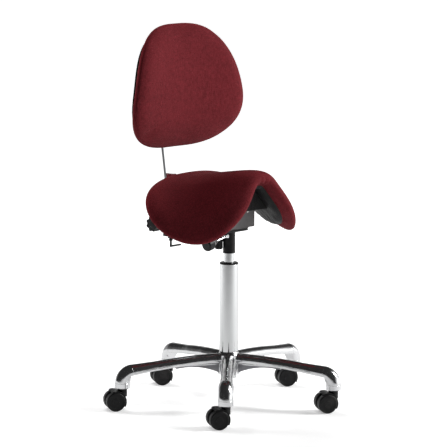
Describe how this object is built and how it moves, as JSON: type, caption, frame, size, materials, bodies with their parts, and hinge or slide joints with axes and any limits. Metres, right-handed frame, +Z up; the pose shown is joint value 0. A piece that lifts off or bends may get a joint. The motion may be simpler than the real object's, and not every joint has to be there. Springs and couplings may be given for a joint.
{
  "type": "saddle chair with backrest",
  "caption": "Saddle-shaped fabric seat and backrest on a gas lift column with a five-star castor base; every castor, lift, tilt and back adjustment moves.",
  "frame": {"origin": "on the floor at the axis of the column", "axes": "+Z up, -Y towards the front of the seat, +X towards the left hand of a person sitting on it"},
  "size_m": [0.6142, 0.6174, 0.9969],
  "materials": {
    "polished_aluminium": "polished",
    "chrome": "mirror",
    "black_plastic": "moulded",
    "wheel_plastic": "moulded",
    "steel": "zinc plated",
    "grey_steel": "satin",
    "black_steel": "powder coated",
    "black_rubber": "matt",
    "burgundy_fabric": "woven",
    "black_lining": "woven"
  },
  "bodies": {
    "base": {"base_star": "polished_aluminium", "column_tube": "chrome", "column_bushing": "black_plastic", "castor_stems": "steel"},
    "castor_1": {"castor_1_housing": "black_plastic", "castor_1_axle": "steel"},
    "wheel_1a": {"castor_1_wheel_a": "wheel_plastic"},
    "wheel_1b": {"castor_1_wheel_b": "wheel_plastic"},
    "castor_2": {"castor_2_housing": "black_plastic", "castor_2_axle": "steel"},
    "wheel_2a": {"castor_2_wheel_a": "wheel_plastic"},
    "wheel_2b": {"castor_2_wheel_b": "wheel_plastic"},
    "castor_3": {"castor_3_housing": "black_plastic", "castor_3_axle": "steel"},
    "wheel_3a": {"castor_3_wheel_a": "wheel_plastic"},
    "wheel_3b": {"castor_3_wheel_b": "wheel_plastic"},
    "castor_4": {"castor_4_housing": "black_plastic", "castor_4_axle": "steel"},
    "wheel_4a": {"castor_4_wheel_a": "wheel_plastic"},
    "wheel_4b": {"castor_4_wheel_b": "wheel_plastic"},
    "castor_5": {"castor_5_housing": "black_plastic", "castor_5_axle": "steel"},
    "wheel_5a": {"castor_5_wheel_a": "wheel_plastic"},
    "wheel_5b": {"castor_5_wheel_b": "wheel_plastic"},
    "rod": {"piston_rod": "steel", "thrust_bearing": "steel", "rod_bumper": "black_rubber", "retaining_clip": "steel"},
    "carrier": {"pressure_tube": "chrome", "cone_socket": "black_plastic", "housing": "grey_steel", "base_plate": "black_steel", "tilt_pin": "steel", "lever_pin": "steel", "rear_bracket": "black_steel", "back_arm": "chrome"},
    "valve": {"valve_pin": "steel"},
    "lever": {"lift_lever": "chrome", "lever_ferrule": "grey_steel", "lever_knob": "black_plastic"},
    "tension": {"tension_knob": "black_plastic"},
    "seat": {"seat_plate": "grey_steel", "seat_block": "black_lining", "seat_shell": "black_plastic", "seat_cushion": "burgundy_fabric", "seat_lining": "black_lining", "seat_screws": "steel"},
    "back_block": {"back_block": "black_steel", "hinge_bolt": "steel"},
    "clamp": {"clamp_screw": "black_steel"},
    "star": {"star_knob": "black_plastic"},
    "bar": {"back_bar": "chrome"},
    "slider": {"back_slider": "black_plastic", "back_pin": "steel"},
    "height_knob": {"height_knob": "black_plastic"},
    "backrest": {"back_mount": "black_steel", "back_screws": "steel", "back_shell": "black_plastic", "back_cushion": "burgundy_fabric"}
  },
  "joints": [
    {"name": "castor_1_swivel", "type": "hinge", "parent": "base", "child": "castor_1", "pos_m": [-0.21391, -0.1967, 0.05], "axis": [0, 0, 1], "continuous": true},
    {"name": "wheel_1a_spin", "type": "hinge", "parent": "castor_1", "child": "wheel_1a", "pos_m": [-0.23261, -0.18569, 0.025], "axis": [-0.5075, -0.8616, 0], "continuous": true},
    {"name": "wheel_1b_spin", "type": "hinge", "parent": "castor_1", "child": "wheel_1b", "pos_m": [-0.23261, -0.18569, 0.025], "axis": [-0.5075, -0.8616, 0], "continuous": true},
    {"name": "castor_2_swivel", "type": "hinge", "parent": "base", "child": "castor_2", "pos_m": [0.12097, -0.26422, 0.05], "axis": [0, 0, 1], "continuous": true},
    {"name": "wheel_2a_spin", "type": "hinge", "parent": "castor_2", "child": "wheel_2a", "pos_m": [0.10227, -0.25321, 0.025], "axis": [-0.5075, -0.8616, 0], "continuous": true},
    {"name": "wheel_2b_spin", "type": "hinge", "parent": "castor_2", "child": "wheel_2b", "pos_m": [0.10227, -0.25321, 0.025], "axis": [-0.5075, -0.8616, 0], "continuous": true},
    {"name": "castor_3_swivel", "type": "hinge", "parent": "base", "child": "castor_3", "pos_m": [0.28867, 0.0334, 0.05], "axis": [0, 0, 1], "continuous": true},
    {"name": "wheel_3a_spin", "type": "hinge", "parent": "castor_3", "child": "wheel_3a", "pos_m": [0.26998, 0.04441, 0.025], "axis": [-0.5075, -0.8616, 0], "continuous": true},
    {"name": "wheel_3b_spin", "type": "hinge", "parent": "castor_3", "child": "wheel_3b", "pos_m": [0.26998, 0.04441, 0.025], "axis": [-0.5075, -0.8616, 0], "continuous": true},
    {"name": "castor_4_swivel", "type": "hinge", "parent": "base", "child": "castor_4", "pos_m": [0.05744, 0.28487, 0.05], "axis": [0, 0, 1], "continuous": true},
    {"name": "wheel_4a_spin", "type": "hinge", "parent": "castor_4", "child": "wheel_4a", "pos_m": [0.03874, 0.29588, 0.025], "axis": [-0.5075, -0.8616, 0], "continuous": true},
    {"name": "wheel_4b_spin", "type": "hinge", "parent": "castor_4", "child": "wheel_4b", "pos_m": [0.03874, 0.29588, 0.025], "axis": [-0.5075, -0.8616, 0], "continuous": true},
    {"name": "castor_5_swivel", "type": "hinge", "parent": "base", "child": "castor_5", "pos_m": [-0.25317, 0.14266, 0.05], "axis": [0, 0, 1], "continuous": true},
    {"name": "wheel_5a_spin", "type": "hinge", "parent": "castor_5", "child": "wheel_5a", "pos_m": [-0.27187, 0.15367, 0.025], "axis": [-0.5075, -0.8616, 0], "continuous": true},
    {"name": "wheel_5b_spin", "type": "hinge", "parent": "castor_5", "child": "wheel_5b", "pos_m": [-0.27187, 0.15367, 0.025], "axis": [-0.5075, -0.8616, 0], "continuous": true},
    {"name": "swivel", "type": "hinge", "parent": "base", "child": "rod", "pos_m": [0, 0, 0.08], "axis": [0, 0, 1], "continuous": true},
    {"name": "lift", "type": "slide", "parent": "rod", "child": "carrier", "axis": [0, 0, 1], "range_m": [0, 0.19]},
    {"name": "valve_press", "type": "slide", "parent": "carrier", "child": "valve", "axis": [0, 0, 1], "range_m": [-0.0025, 0]},
    {"name": "lever_lift", "type": "hinge", "parent": "carrier", "child": "lever", "pos_m": [-0.024, 0, 0.452], "axis": [0, 1, 0], "range_deg": [0, 5], "stiffness_Nm_per_rad": 1.5},
    {"name": "tension_turn", "type": "hinge", "parent": "carrier", "child": "tension", "pos_m": [-0.024, 0.0145, 0.43], "axis": [0, 0, 1], "range_deg": [-180, 180]},
    {"name": "seat_tilt", "type": "hinge", "parent": "carrier", "child": "seat", "pos_m": [0, 0.02, 0.494], "axis": [1, 0, 0], "range_deg": [-4, 10]},
    {"name": "back_depth", "type": "slide", "parent": "carrier", "child": "back_block", "axis": [0, 1, 0], "range_m": [-0.03, 0.02]},
    {"name": "clamp_turn", "type": "hinge", "parent": "back_block", "child": "clamp", "pos_m": [-0.009, 0.2085, 0.41], "axis": [0, 0, 1], "range_deg": [-180, 180]},
    {"name": "star_turn", "type": "hinge", "parent": "back_block", "child": "star", "pos_m": [-0.078, 0.2015, 0.467], "axis": [1, 0, 0], "range_deg": [-180, 180]},
    {"name": "back_recline", "type": "hinge", "parent": "back_block", "child": "bar", "pos_m": [0, 0.2015, 0.467], "axis": [1, 0, 0], "range_deg": [-15, 6]},
    {"name": "back_height", "type": "slide", "parent": "bar", "child": "slider", "axis": [0, 0.1478, 0.989], "range_m": [-0.05, 0.04]},
    {"name": "height_turn", "type": "hinge", "parent": "slider", "child": "height_knob", "pos_m": [0, 0.28497, 0.82257], "axis": [0, 0.989, -0.1478], "range_deg": [-180, 180]},
    {"name": "back_tilt", "type": "hinge", "parent": "slider", "child": "backrest", "pos_m": [0, 0.23552, 0.82996], "axis": [1, 0, 0], "range_deg": [-12, 2]}
  ],
  "couplings": [
    {"joint": "valve_press", "follows": "lever_lift", "m_per_rad": -0.024}
  ]
}
